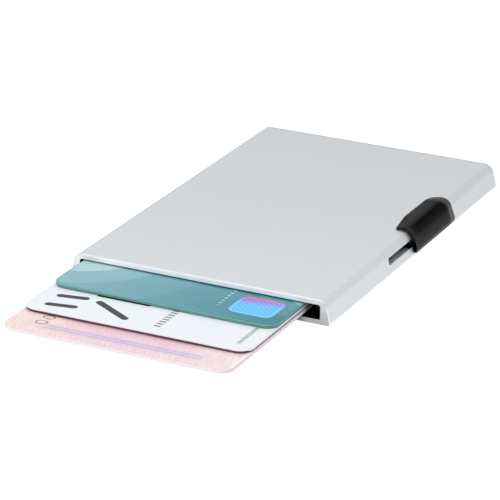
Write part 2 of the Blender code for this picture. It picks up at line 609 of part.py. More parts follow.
def make_ejector(look, rivet_look, slider):
    """Ejector: a staircase with one step for each card's tail, riveted to the carriage."""
    bottom = FLOOR_WALL + EJECTOR_FLOOR_GAP
    second = MIDDLE_CARD_LEVEL - CARD_GAP / 2
    third = TOP_CARD_LEVEL - CARD_GAP / 2
    top = ROOF - EJECTOR_FLOOR_GAP
    stairs = [(EJECTOR_FRONT, bottom), (EJECTOR_REAR, bottom), (EJECTOR_REAR, top),
              (EJECTOR_REAR - EJECTOR_WALL, top), (EJECTOR_REAR - EJECTOR_WALL, third),
              (EJECTOR_REAR - EJECTOR_WALL - STEP_PITCH, third),
              (EJECTOR_REAR - EJECTOR_WALL - STEP_PITCH, second), (EJECTOR_FRONT, second)]
    ejector = add("stepped_ejector", prism(stairs, "X", LANE_LEFT + RUN_GAP, RAIL_INNER - BOND_GAP), look,
                  SLIDER_ORIGIN, slider)
    seat = prism(box_corners(RAIL_INNER - TONGUE_LENGTH - BOND_GAP, RAIL_INNER + OVERRUN,
                             EJECTOR_FRONT - OVERRUN, EJECTOR_REAR + OVERRUN),
                 "Z", bottom - OVERRUN, RAIL_BOTTOM + TONGUE_THICKNESS + BOND_GAP)
    combine(ejector, "tongue_seat_cutter", seat)
    hole = RIVET_RADIUS + BOND_GAP
    head = RIVET_HEAD_RADIUS + BOND_GAP
    cone = RIVET_HEAD_RADIUS - RIVET_RADIUS
    seat_top = third - HEAD_SINK
    holes = [turned([(0, 0), (hole, 0), (hole, seat_top - cone), (head, seat_top), (head, third + BOND_GAP),
                     (0, third + BOND_GAP)], "Z", place) for place in rivet_places()]
    combine(ejector, "rivet_hole_cutter", joined(holes))
    profile = [(0, RAIL_BOTTOM), (RIVET_RADIUS, RAIL_BOTTOM), (RIVET_RADIUS, seat_top - cone),
               (RIVET_HEAD_RADIUS, seat_top), (0, seat_top)]
    for name, place in zip(SIDES, rivet_places()):
        rivet = turned(profile, "Z", place)
        add(f"ejector_rivet_{name}", rivet, rivet_look, SLIDER_ORIGIN, slider, smooth=True)
    return ejector


def make_card(name, look, out, shift, turn, level, slider):
    """One card, with its origin at its own centre and its front edge as far out as asked."""
    outline = rounded(box_corners(-CARD_WIDTH / 2, CARD_WIDTH / 2, -CARD_LENGTH / 2, CARD_LENGTH / 2),
                      CARD_CORNER_RADIUS)
    solid = prism(outline, "Z", -CARD_THICKNESS / 2, CARD_THICKNESS / 2)
    bmesh.ops.rotate(solid, verts=solid.verts, matrix=Matrix.Rotation(turn, 3, "Z"))
    half = Matrix.Rotation(turn, 3, "Z") @ Vector((0, CARD_LENGTH / 2, 0))
    centre = Vector((LANE_MIDDLE + shift, MOUTH - out, level + CARD_THICKNESS / 2)) + half
    bmesh.ops.translate(solid, verts=solid.verts, vec=centre)
    carrier = add_empty(f"{name}_slide", centre, slider)
    card = add(name, solid, look, centre, None, smooth=True)
    card.parent = carrier
    card.location = (0, 0, 0)
    return card


def build():
    """Make the whole case."""
    clear_scene()
    anodised = finish("anodised_aluminium", (0.63, 0.66, 0.68), 0.42, 0.55)
    black = finish("black_plastic", (0.025, 0.025, 0.03), 0.35, 0.0)
    dark = finish("dark_plastic", (0.04, 0.04, 0.045), 0.5, 0.0)
    steel = finish("bright_steel", (0.60, 0.60, 0.62), 0.3, 1.0)
    bronze = finish("spring_bronze", (0.55, 0.36, 0.18), 0.35, 1.0)
    felt = finish("grey_felt", (0.09, 0.09, 0.10), 0.95, 0.0)
    silicone = finish("dark_silicone", (0.06, 0.06, 0.07), 0.7, 0.0)
    nickel = finish("nickel", (0.66, 0.64, 0.60), 0.25, 1.0)

    make_shell(anodised)
    make_end_cap(dark, steel, silicone, nickel)
    make_guides(dark)
    make_lining(felt, bronze)

    slider = add_empty("slider", SLIDER_ORIGIN)
    make_button(black, slider)
    make_carriage(dark, slider)
    make_button_screws(steel, slider)
    make_keeper(steel, slider)
    make_ejector(dark, steel, slider)

    make_card("card_top", finish("teal_card", (0.22, 0.42, 0.50), 0.3, 0.0),
              TOP_CARD_OUT, TOP_CARD_SHIFT, TOP_CARD_TURN, TOP_CARD_LEVEL, slider)
    make_card("card_middle", finish("white_card", (0.80, 0.80, 0.80), 0.3, 0.0),
              MIDDLE_CARD_OUT, MIDDLE_CARD_SHIFT, MIDDLE_CARD_TURN, MIDDLE_CARD_LEVEL, slider)
    make_card("card_bottom", finish("rose_card", (0.75, 0.55, 0.50), 0.3, 0.0),
              BOTTOM_CARD_OUT, BOTTOM_CARD_SHIFT, BOTTOM_CARD_TURN, BOTTOM_CARD_LEVEL, slider)


build()
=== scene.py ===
"""Looks of the slide-out card case: an anodised sleeve, its slider, and three cards fanned out of the mouth.

Everything is in metres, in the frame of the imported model: X across, -Y out of the mouth, Z up. The finishes
and prints measure in millimetres instead, from the frame's origin or from a card's centre.
"""

import math

import bmesh
import bpy
from mathutils import Matrix, Vector


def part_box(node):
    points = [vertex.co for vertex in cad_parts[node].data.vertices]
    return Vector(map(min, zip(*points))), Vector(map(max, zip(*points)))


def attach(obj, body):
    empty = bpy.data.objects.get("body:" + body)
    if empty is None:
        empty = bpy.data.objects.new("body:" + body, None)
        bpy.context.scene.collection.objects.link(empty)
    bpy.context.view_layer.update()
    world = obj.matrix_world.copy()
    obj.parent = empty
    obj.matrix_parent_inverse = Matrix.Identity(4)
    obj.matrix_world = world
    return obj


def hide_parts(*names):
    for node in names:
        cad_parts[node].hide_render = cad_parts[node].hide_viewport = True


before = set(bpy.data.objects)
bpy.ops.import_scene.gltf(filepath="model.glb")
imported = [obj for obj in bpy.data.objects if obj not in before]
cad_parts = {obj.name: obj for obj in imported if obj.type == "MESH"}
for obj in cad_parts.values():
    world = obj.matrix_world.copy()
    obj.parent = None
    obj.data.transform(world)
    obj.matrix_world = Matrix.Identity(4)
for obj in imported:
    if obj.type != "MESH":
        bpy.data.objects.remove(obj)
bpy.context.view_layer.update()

MM = 0.001

# Photograph's view
VIEW_AZIMUTH = math.radians(25.261)
VIEW_ELEVATION = math.radians(21.315)
VIEW_ROLL = math.radians(0.933)
VIEW_DISTANCE = 675.763 * MM
VIEW_TARGET = Vector((0, -19.0 * MM, 3.0 * MM))
VIEW_FOCAL_PIXELS = 2973.1
VIEW_CENTRE = (257.063, 244.064)
PICTURE_PIXELS = 500
SENSOR_WIDTH = 36.0                  # millimetres, as a Blender camera counts it

# Studio: a grey flag darkens what the button's ridge mirrors, and a glow lifts what the side's shoulder
# mirrors. Each soft box is given by its name, place, width and power in watts.
FLAG_DIRECTION = Vector((0.13, 0.84, 0.52)).normalized()
FLAG_CORE = math.radians(4.0)
FLAG_REACH = math.radians(10.0)
FLAG_DEPTH = 0.62
GLOW_DIRECTION = Vector((0.50, 0.85, 0.10)).normalized()
GLOW_CORE = math.radians(6.0)
GLOW_REACH = math.radians(24.0)
GLOW_LIGHT = 0.30
HORIZON_LIGHT = 0.30
OVERHEAD_LIGHT = 0.90                # added to the horizon's light straight overhead
BACK_LIGHT = 0.12                    # added at the back, taken away behind the camera
SOFT_BOXES = (("front_soft_box", (-0.30, -1.0, 0.20), 0.4, 3.2),
              ("top_soft_box", (-0.02, -0.08, 0.32), 0.22, 0.12))
FLOOR_REACH = 4.0                    # from its middle to each side
FLOOR_CELLS = 8                      # along each side
FLOOR_GAP = 0.02 * MM                # keeps the floor clear of the flat underside

# Sleeve
SLEEVE_LENGTH = 98.0 * MM
SLEEVE_HEIGHT = 5.8 * MM
FOOT_WIDTH = 63.9 * MM
SIDE_LEAN = math.radians(14.0)
TOP_CORNER_RADIUS = 2.3 * MM
FOOT_CORNER_RADIUS = 0.7 * MM
CAVITY_WIDTH = 58.8 * MM
CAVITY_FLOOR = 1.2 * MM
CAVITY_ROOF = 4.6 * MM
CAVITY_TOP_RADIUS = 0.6 * MM
CAVITY_FLOOR_RADIUS = 0.2 * MM
RIM_BEVEL = 0.3 * MM                 # outer edge of both ends
MOUTH_BEVEL = 0.25 * MM              # inner edge of both ends
SLOT_FRONT = 33.3 * MM               # from the mouth
SLOT_REAR = 65.5 * MM
SLOT_LEVEL = 3.155 * MM              # height of its middle
SLOT_HEIGHT = 1.65 * MM
SLOT_CORNER_RADIUS = 0.5 * MM
SLOT_BEVEL = 0.06 * MM               # more would run past the flat side into the round corner
CAP_SCREW_REACH = 22.0 * MM          # from the middle to each side
CAP_SCREW_PLACE = 47.55 * MM         # towards the back
CAP_SCREW_RADIUS = 0.75 * MM
CAP_SCREW_HEAD_RADIUS = 1.25 * MM
CAP_SCREW_SINK = 0.06 * MM
OVERRUN = 1.0 * MM                   # how far a cutter runs past what it cuts
MOUTH = -SLEEVE_LENGTH / 2
BACK = SLEEVE_LENGTH / 2
SKIN, BRIGHT, LINING, END_FACE = range(4)    # numbers of the sleeve's materials

# Slider's button, made as a flat pad and then bent over the sleeve's corner
BUTTON_FRONT = MOUTH + 46.45 * MM
BUTTON_LENGTH = 24.1 * MM
BUTTON_LIFT = 0.12 * MM
BUTTON_FRONT_THICKNESS = 1.0 * MM
BUTTON_REAR_THICKNESS = 0.75 * MM
BUTTON_TAIL_THICKNESS = 0.18 * MM
BUTTON_TAIL_LENGTH = 3.3 * MM
BUTTON_TAIL_SLANT = 0.75 * MM        # how much further back the rear edge stands at its foot
BUTTON_TAIL_HOLLOW = 0.10 * MM       # how far it draws in where the pad leaves the corner
BUTTON_TOP_REACH = 2.8 * MM          # along the flat top, from where the corner ends
BUTTON_FEATHER = 2.5 * MM            # width over which the pad thins towards its upper edge
BUTTON_FEATHER_SHARE = 0.28          # of the thickness, left at the upper edge
BUTTON_FOOT_LEVEL = 0.70 * MM
BUTTON_FRONT_DRAW = 1.2 * MM         # how far the upper edge draws in at the front
BUTTON_DRAW_LENGTH = 8.0 * MM
BUTTON_RADII = [0.5 * MM, 0.7 * MM, 0.8 * MM, 6.0 * MM, 4.2 * MM, 6.0 * MM]    # one for each of its corners
BUTTON_HEM = 1.0 * MM                # facet along the lower edge
BUTTON_HEM_SHARE = 0.5               # of the thickness, left at the lower edge
BUTTON_EDGE = 0.25 * MM              # rounding of its rim
BUTTON_CREASE = math.radians(12.5)   # facets that meet at more than this stay crisp
NECK_FRONT = MOUTH + 45.1 * MM
NECK_REAR = MOUTH + 65.1 * MM
NECK_HEIGHT = 1.55 * MM
NECK_INNER = 29.2 * MM
NECK_CORNER_RADIUS = 0.35 * MM
NECK_EDGE = 0.12 * MM
NECK_SINK = 0.3 * MM                 # how far the neck runs into the pad

# Cards
CARD_LENGTH = 85.6 * MM
CARD_WIDTH = 53.98 * MM
CARD_CORNER_RADIUS = 3.18 * MM
CARD_EDGE = 0.06 * MM
CARD_TURN = math.radians(0.1)        # the top card is turned one way by this, the bottom card the other way
CARD_SPAN = 54.0                     # a card's width in millimetres, rounded, for its print
STREAK_SLANT = math.radians(14.0)    # of the streaks on the bottom card
ROSE_WASH = 0.175                    # share of a pinker ink, laid evenly over the bottom card
OVERLAY_GLOSS = 0.09                 # light that the clear overlay adds to a print
DARKEST_INK = 0.004
PRINTED, PUNCHED, BACKED = range(3)          # numbers of a card's materials

# Broken edges of the moulded pieces
CAP_EDGE = 0.08 * MM
GUIDE_EDGE = 0.06 * MM
EJECTOR_EDGE = 0.05 * MM
CARRIAGE_EDGE = 0.02 * MM            # more would fold a face over beside the keeper's pocket

# Round work, as numbers of steps
ARC_STEPS = 16
TURN_STEPS = 48
EDGE_STEPS = 4
RIM_STEPS = 8
OPENING_STEPS = 3
FINE_STEPS = 2
BEND_STEPS = 24
TAIL_STEPS = 10
LENGTH_STEPS = 16
HEM_STEPS = 3

WELD = 0.0005 * MM                   # points closer together than this are one
SHARP_ANGLE = math.radians(35.0)     # faces that meet at more than this keep a crisp edge
FLAT_ANGLE = math.radians(1.0)       # faces that meet at less than this are one
SQUARE_ON = 0.98                     # a face whose normal has more than this along an axis is square to it,
FACING = 0.9                         # with more than this it faces that way,
EDGE_ON = 0.1                        # and with less than this it runs along the axis

# How a flat plate is stood square to an axis, and the way along that axis
STAND = {"X": Matrix(((0, 0, 1), (1, 0, 0), (0, 1, 0))), "Y": Matrix(((1, 0, 0), (0, 0, -1), (0, 1, 0))),
         "Z": Matrix.Identity(3)}
ALONG = {"X": Vector((1, 0, 0)), "Y": Vector((0, 1, 0)), "Z": Vector((0, 0, 1))}


def aim_camera():
    """Camera where the photograph was taken from."""
    back = Vector((math.sin(VIEW_AZIMUTH) * math.cos(VIEW_ELEVATION),
                   -math.cos(VIEW_AZIMUTH) * math.cos(VIEW_ELEVATION), math.sin(VIEW_ELEVATION)))
    right = Vector((math.cos(VIEW_AZIMUTH), math.sin(VIEW_AZIMUTH), 0))
    up = back.cross(right)
    rolled_right = math.cos(VIEW_ROLL) * right + math.sin(VIEW_ROLL) * up
    rolled_up = math.cos(VIEW_ROLL) * up - math.sin(VIEW_ROLL) * right
    camera = bpy.data.objects.new("camera", bpy.data.cameras.new("camera"))
    bpy.context.scene.collection.objects.link(camera)
    camera.data.sensor_width = SENSOR_WIDTH
    camera.data.lens = VIEW_FOCAL_PIXELS * SENSOR_WIDTH / PICTURE_PIXELS
    camera.data.shift_x = (PICTURE_PIXELS / 2 - VIEW_CENTRE[0]) / PICTURE_PIXELS
    camera.data.shift_y = (VIEW_CENTRE[1] - PICTURE_PIXELS / 2) / PICTURE_PIXELS
    turn = Matrix((rolled_right, rolled_up, back)).transposed().to_4x4()
    camera.matrix_world = Matrix.Translation(VIEW_TARGET + back * VIEW_DISTANCE) @ turn
    bpy.context.scene.camera = camera


class Wire:
    """Output of a node. A sum written on wires adds the Math nodes that work it out."""

    def __init__(self, finish, socket):
        self.finish = finish
        self.socket = socket

    def math(self, operation, *terms, clamp=False):
        """Math node on these terms, which are wires or numbers."""
        settings = {"operation": operation, "use_clamp": clamp}
        return self.finish.node("ShaderNodeMath", settings, dict(enumerate(terms)))

    def __add__(self, other):
        return self.math("ADD", self, other)

    def __sub__(self, other):
        return self.math("SUBTRACT", self, other)

    def __rsub__(self, other):
        return self.math("SUBTRACT", other, self)

    def __mul__(self, other):
        return self.math("MULTIPLY", self, other)

    def __truediv__(self, other):
        return self.math("DIVIDE", self, other)

    def __and__(self, other):
        return self.math("MINIMUM", self, other)

    def __or__(self, other):
        return self.math("MAXIMUM", self, other)

    def __abs__(self):
        return self.math("ABSOLUTE", self)

    __radd__ = __add__

    def wave(self):
        return self.math("SINE", self)

    def root(self):
        return self.math("SQRT", self)

    def repeat(self, pitch):
        """Distance from the nearest of a row of lines that lie a pitch apart."""
        return self.math("PINGPONG", self, pitch / 2)

    def within(self, soft=0.1):
        """1 where the distance is below zero, 0 where it is above, with a soft border."""
        return self.math("MULTIPLY_ADD", self, -1 / soft, 0.5, clamp=True)


class Finish:
    """One material, put together node by node."""

    def __init__(self, name, **constants):
        self.material = bpy.data.materials.new(name)
        self.material.use_nodes = True
        self.tree = self.material.node_tree
        self.shader = self.tree.nodes["Principled BSDF"]
        for socket, value in constants.items():
            self.shader.inputs[socket.replace("_", " ")].default_value = value

    def node(self, kind, settings=None, sockets=None, out=0):
        """New node: its settings are set first, then the values or wires of its sockets."""
        made = self.tree.nodes.new(kind)
        for name, value in (settings or {}).items():
            if name == "stops":
                self.set_stops(made.color_ramp, value)
            else:
                setattr(made, name, value)
        for name, value in (sockets or {}).items():
            self.plug(made.inputs[name], value)
        return Wire(self, made.outputs[out])

    def set_stops(self, ramp, stops):
        while len(ramp.elements) < len(stops):
            ramp.elements.new(1.0)
        for element, (place, colour) in zip(ramp.elements, stops):
            element.position = place
            element.color = (*colour, 1.0)

    def plug(self, socket, value):
        """Put a wire, a colour or a number into a socket."""
        if isinstance(value, Wire):
            self.tree.links.new(value.socket, socket)
        elif socket.type == "RGBA":
            socket.default_value = (*value, 1.0)
        else:
            socket.default_value = value

    def place(self, centre=(0, 0, 0), turn=0.0, scale=1 / MM):
        """Place on the object, from a centre, in millimetres or else in units of 1 / scale."""
        coordinates = self.node("ShaderNodeTexCoord", out="Object")
        shift = Matrix.Rotation(turn, 3, "Z") @ (-scale * Vector(centre))
        return self.node("ShaderNodeMapping", {"vector_type": "POINT"},
                         {"Vector": coordinates, "Location": shift, "Rotation": (0, 0, turn),
                          "Scale": (scale, scale, scale)})

    def split(self, vector):
        """The vector's three parts."""
        first = self.node("ShaderNodeSeparateXYZ", sockets={"Vector": vector})
        return [Wire(self, socket) for socket in first.socket.node.outputs]

    def noise(self, vector, scale, detail, roughness=0.55):
        return self.node("ShaderNodeTexNoise", sockets={"Vector": vector, "Scale": scale, "Detail": detail,
                                                        "Roughness": roughness})

    def stretched(self, vector, factors):
        return self.node("ShaderNodeVectorMath", {"operation": "MULTIPLY"}, {0: vector, 1: factors})

    def mix(self, share, one, two):
        """Colour between one and two."""
        return self.node("ShaderNodeMix", {"data_type": "RGBA"}, {0: share, 6: one, 7: two}, out=2)

    def ramp(self, value, stops):
        return self.node("ShaderNodeValToRGB", {"stops": stops}, {"Fac": value})

    def bump(self, height, distance, strength):
        return self.node("ShaderNodeBump", sockets={"Strength": strength, "Distance": distance,
                                                    "Height": height})

    def show(self, colour, roughness, normal=None):
        """Wire up the shader, and give the material."""
        self.plug(self.shader.inputs["Base Color"], colour)
        self.plug(self.shader.inputs["Roughness"], roughness)
        if normal is not None:
            self.plug(self.shader.inputs["Normal"], normal)
        return self.material


class Room(Finish):
    """The studio's surroundings, put together in the same way."""

    def __init__(self, name):
        self.material = bpy.data.worlds.new(name)
        self.material.use_nodes = True
        self.tree = self.material.node_tree
        self.shader = self.tree.nodes["Background"]


def tone(red, green, blue):
    """Linear colour from three screen values between 0 and 255."""
    def linear(value):
        share = value / 255
        return share / 12.92 if share <= 0.04045 else ((share + 0.055) / 1.055) ** 2.4
    return (linear(red), linear(green), linear(blue))


def ink(red, green, blue):
    """Printed colour that looks like these values once the overlay's gloss is added."""
    return tuple(max(value - OVERLAY_GLOSS, DARKEST_INK) / (1 - OVERLAY_GLOSS)
                 for value in tone(red, green, blue))


def anodised_finish():
    """Fine matt anodised aluminium: blasted grain with a hint of drawn lines, with painted shade towards the
    back and along the rear edge.
    """
    look = Finish("anodised_aluminium", Metallic=1.0)
    place = look.place()
    _, y, _ = look.split(place)
    grain = look.noise(place, 9.0, 4.0, 0.65)
    cloud = look.noise(place, 0.09, 2.0)
    drawn = look.noise(look.stretched(place, (14.0, 0.12, 14.0)), 1.0, 2.0)
    colour = look.mix(cloud, (0.765, 0.793, 0.815), (0.795, 0.823, 0.845))
    # Painted shade: darker towards the back.
    colour = look.mix(y / (SLEEVE_LENGTH / MM) + 0.5, colour, (0.712, 0.739, 0.760))
    # Painted shade along the rear edge.
    rear_edge_shade = (48.3 - y).within(0.9)
    colour = look.mix(rear_edge_shade * 0.85, colour, (0.55, 0.56, 0.57))
    colour = look.mix(grain * 0.10, colour, (0.64, 0.67, 0.69))
    roughness = 0.46 + grain * 0.10 + drawn * 0.03
    height = grain + drawn * 0.25
    return look.show(colour, roughness, look.bump(height, 0.006 * MM, 0.5))


def cut_edge_finish():
    """Bright bevel round the mouth, where the skin was cut away, with a painted highlight at the right and
    painted shadow along its foot.
    """
    look = Finish("bright_cut_edge", Metallic=1.0)
    place = look.place()
    lines = look.noise(look.stretched(place, (1.5, 40.0, 40.0)), 1.0, 2.0)
    x, _, z = look.split(place)
    colour = look.mix(lines, (0.72, 0.75, 0.77), (0.80, 0.83, 0.85))
    # Painted highlight on the bevel of the right-hand wall.
    right = (29.8 - x).within(0.4) * (z - 4.6).within(0.4)
    colour = look.mix(right, colour, (0.96, 0.98, 0.99))
    # Painted shadow along the foot, next to the floor.
    foot = (z - 0.4).within(0.2)
    colour = look.mix(foot * 0.8, colour, (0.30, 0.30, 0.31))
    return look.show(colour, 0.44 + lines * 0.12, look.bump(lines, 0.004 * MM, 0.4))


def end_face_finish():
    """Sawn and brushed end of the tube, with painted light and shade: darker towards its foot, on the
    right-hand wall and under the cards, near white along the roof, dimmer at the roof's corners and lighter
    high on the left-hand wall.
    """
    look = Finish("brushed_end_face", Metallic=1.0)
    place = look.place()
    lines = look.noise(look.stretched(place, (1.5, 40.0, 40.0)), 1.0, 2.0)
    x, _, z = look.split(place)
    # Painted light and shade by height: darker towards the foot and on the right-hand wall, near white along
    # the roof's front.
    level = z & ((z - ((x - 28.2) | 0) * 0.9) | 3.4)
    colour = look.ramp(level / 6.0, [(0.05, (0.52, 0.53, 0.53)), (0.30, (0.55, 0.56, 0.56)),
                                     (0.46, (0.57, 0.58, 0.58)), (0.58, (0.66, 0.67, 0.68)),
                                     (0.68, (0.68, 0.69, 0.70)), (0.81, (0.99, 0.99, 1.0))])
    # Painted shade on the roof's front towards its corners.
    roof_corner_shade = (24.5 - abs(x)).within(3.0) * (4.5 - z).within(0.4)
    colour = look.mix(roof_corner_shade * 0.65, colour, (0.68, 0.69, 0.70))
    # Painted light high on the left-hand wall's end.
    left = (x + 28.8).within(0.6) * (2.4 - z).within(1.0)
    colour = look.mix(left * 0.7, colour, (0.86, 0.87, 0.87))
    # Painted shadow on the lower lip under the cards.
    lip_shadow = (abs(x) - 25.6).within(2.0) * (z - 1.4).within(0.2)
    colour = look.mix(lip_shadow * 0.8, colour, (0.13, 0.13, 0.135))
    colour = look.mix(lines * 0.14, colour, (0.50, 0.51, 0.52))
    return look.show(colour, 0.64 + lines * 0.14, look.bump(lines, 0.005 * MM, 0.5))


def lining_finish():
    """Black flocked lining inside the sleeve."""
    look = Finish("black_lining", Specular_IOR_Level=0.05)
    place = look.place()
    pile = look.noise(place, 16.0, 3.0, 0.7)
    colour = look.mix(pile, (0.0020, 0.0020, 0.0022), (0.0065, 0.0065, 0.0070))
    return look.show(colour, 0.9 + pile * 0.08, look.bump(pile, 0.03 * MM, 0.8))


def satin_plastic_finish():
    """Soft-touch black plastic of the button, with painted light and shade: lighter towards its foot, a dark
    band along its ridge, painted highlights towards its front, on its rear facet and along its front rim, and
    painted shade low on its front face.
    """
    look = Finish("satin_black_plastic", Specular_IOR_Level=0.015)
    place = look.place()
    grain = look.noise(place, 14.0, 3.0, 0.6)
    rubbed = look.noise(place, 0.35, 3.0)
    _, y, z = look.split(place)
    along = y - BUTTON_FRONT / MM
    # Painted light and shade by height: lighter towards the foot, darkest along the ridge, lighter again on
    # top.
    colour = look.ramp(z / 7.0, [(0.10, (0.115, 0.115, 0.117)), (0.24, (0.050, 0.050, 0.053)),
                                 (0.50, (0.020, 0.019, 0.022)), (0.72, (0.006, 0.005, 0.007)),
                                 (0.82, (0.002, 0.001, 0.002)), (0.90, (0.0008, 0.0003, 0.0008)),
                                 (0.94, (0.007, 0.007, 0.008)), (0.975, (0.030, 0.030, 0.031))])
    # Painted light towards the front of the side.
    front_side_light = (along - 1.0).within(9.0) * (z - 4.6).within(1.2)
    colour = look.mix(front_side_light * 0.5, colour, (0.056, 0.056, 0.058))
    # Painted highlight towards the front, on the upper part.
    front_top_sheen = (along - 1.5).within(4.0) * (3.6 - z).within(0.6)
    colour = look.mix(front_top_sheen * 0.9, colour, (0.028, 0.028, 0.029))
    # Painted highlight on the rear facet.
    facet_start = (BUTTON_FRONT + BUTTON_LENGTH - BUTTON_TAIL_LENGTH) / MM
    facet_highlight = (facet_start - ((z - 5.9) | 0) * 1.3 - y).within(1.4)
    colour = look.mix(facet_highlight * 0.7, colour, (0.098, 0.098, 0.100))
    # Painted highlight along the front rim.
    rim = (abs(along - 0.22) - 0.12).within(0.16)
    colour = look.mix(rim * 0.7, colour, (0.075, 0.080, 0.082))
    front = (along - 0.06).within(0.1)
    front_shade = look.mix((z - 3.8).within(0.8), (0.024, 0.025, 0.027), (0.0008, 0.0009, 0.0011))
    colour = look.mix(front, colour, front_shade)
    colour = look.mix(grain * 0.35, colour, (0.0015, 0.0013, 0.0016))
    return look.show(colour, 0.19 + grain * 0.10 - rubbed * 0.04, look.bump(grain, 0.008 * MM, 0.5))


def moulded_finish():
    """Dark moulded plastic of the guides, cap, carriage and ejector, with flow marks."""
    look = Finish("dark_moulded_plastic", Specular_IOR_Level=0.12)
    place = look.place()
    grain = look.noise(place, 10.0, 4.0, 0.6)
    flow = look.noise(look.stretched(place, (0.5, 0.12, 0.5)), 1.0, 3.0)
    colour = look.mix(flow, (0.006, 0.0065, 0.007), (0.011, 0.0115, 0.0125))
    colour = look.mix(grain * 0.35, colour, (0.004, 0.004, 0.005))
    return look.show(colour, 0.42 + grain * 0.16, look.bump(grain, 0.014 * MM, 0.6))


def steel_finish():
    """Bright turned steel of the screws, rivets and keeper."""
    look = Finish("turned_steel", Metallic=1.0)
    place = look.place()
    lines = look.noise(look.stretched(place, (2.0, 2.0, 30.0)), 1.0, 3.0)
    specks = look.noise(place, 12.0, 2.0)
    colour = look.mix(lines, (0.50, 0.50, 0.51), (0.66, 0.66, 0.67))
    return look.show(colour, 0.22 + specks * 0.20, look.bump(lines, 0.004 * MM, 0.5))


def bronze_finish():
    """Rolled bronze strip of the leaf spring."""
    look = Finish("rolled_bronze", Metallic=1.0)
    place = look.place()
    rolled = look.noise(look.stretched(place, (12.0, 0.3, 12.0)), 1.0, 3.0)
    bloom = look.noise(place, 0.4, 3.0)
    colour = look.mix(bloom, (0.58, 0.37, 0.18), (0.42, 0.25, 0.12))
    return look.show(colour, 0.25 + rolled * 0.22, look.bump(rolled, 0.004 * MM, 0.6))


def felt_finish():
    """Short grey pile of the felt strips."""
    look = Finish("grey_felt", Specular_IOR_Level=0.1, Sheen_Weight=0.5)
    place = look.place()
    pile = look.noise(place, 9.0, 5.0, 0.75)
    matted = look.noise(place, 0.8, 3.0)
    colour = look.mix(pile, (0.035, 0.035, 0.040), (0.150, 0.150, 0.165))
    colour = look.mix(matted * 0.4, colour, (0.060, 0.060, 0.068))
    return look.show(colour, 0.95, look.bump(pile, 0.08 * MM, 0.9))


def silicone_finish():
    """Matt dark silicone of the end buffers."""
    look = Finish("dark_silicone", Specular_IOR_Level=0.3)
    place = look.place()
    bloom = look.noise(place, 6.0, 4.0)
    colour = look.mix(bloom, (0.045, 0.045, 0.052), (0.072, 0.072, 0.082))
    return look.show(colour, 0.62 + bloom * 0.2, look.bump(bloom, 0.01 * MM, 0.5))


def nickel_finish():
    """Nickel plate of the catch magnet."""
    look = Finish("nickel_plate", Metallic=1.0)
    place = look.place()
    pits = look.noise(place, 7.0, 4.0)
    colour = look.mix(pits, (0.60, 0.58, 0.54), (0.70, 0.68, 0.63))
    return look.show(colour, 0.18 + pits * 0.16, look.bump(pits, 0.006 * MM, 0.4))


def floor_finish():
    """Plain white sweep that glows a little."""
    look = Finish("white_sweep", Emission_Strength=0.96, Specular_IOR_Level=0.0)
    look.shader.inputs["Emission Color"].default_value = (1.0, 1.0, 1.0, 1.0)
    place = look.place(scale=1.0)
    cloud = look.noise(place, 3.0, 2.0)
    return look.show(look.mix(cloud, (0.12, 0.12, 0.12), (0.14, 0.14, 0.14)), 1.0)


def card_place(look, node, turn):
    """Place on a card's face from its centre, in millimetres: across, then from front to tail."""
    low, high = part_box(node)
    return look.place((low + high) / 2, -turn)


def card_border(x, y):
    """Distance from a card's outline."""
    half = (CARD_WIDTH / 2 / MM, CARD_LENGTH / 2 / MM)
    return rounded_box(x, y, (0, 0), half, CARD_CORNER_RADIUS / MM)


def overlay(look, place, colour, raised):
    """Clear laminated overlay on a print: satin gloss with a faint orange peel, raised over its marks."""
    peel = look.noise(place, 1.6, 2.0)
    dust = look.noise(place, 12.0, 3.0, 0.7)
    height = peel + dust * 0.10 + raised * 0.4
    return look.show(colour, 0.24 + dust * 0.08 + peel * 0.04, look.bump(height, 0.004 * MM, 0.35))


def rounded_box(x, y, centre, half, radius):
    """Distance from a rectangle with round corners."""
    across = abs(x - centre[0]) - (half[0] - radius)
    away = abs(y - centre[1]) - (half[1] - radius)
    outside = ((across | 0) * (across | 0) + (away | 0) * (away | 0)).root()
    return outside + ((across | away) & 0) - radius


def stroke(x, y, centre, turn, half, radius):
    """Distance from a straight stroke with round ends."""
    cosine, sine = math.cos(turn), math.sin(turn)
    u = (x - centre[0]) * cosine + (y - centre[1]) * sine
    v = (y - centre[1]) * cosine - (x - centre[0]) * sine
    over = (abs(u) - half) | 0
    return (over * over + v * v).root() - radius


def round_distance(x, y, centre):
    """Distance from a point."""
    across = x - centre[0]
    away = y - centre[1]
    return (across * across + away * away).root()


def together(marks):
    """Marks printed over each other."""
    whole = marks[0]
    for mark in marks[1:]:
        whole = whole | mark
    return whole


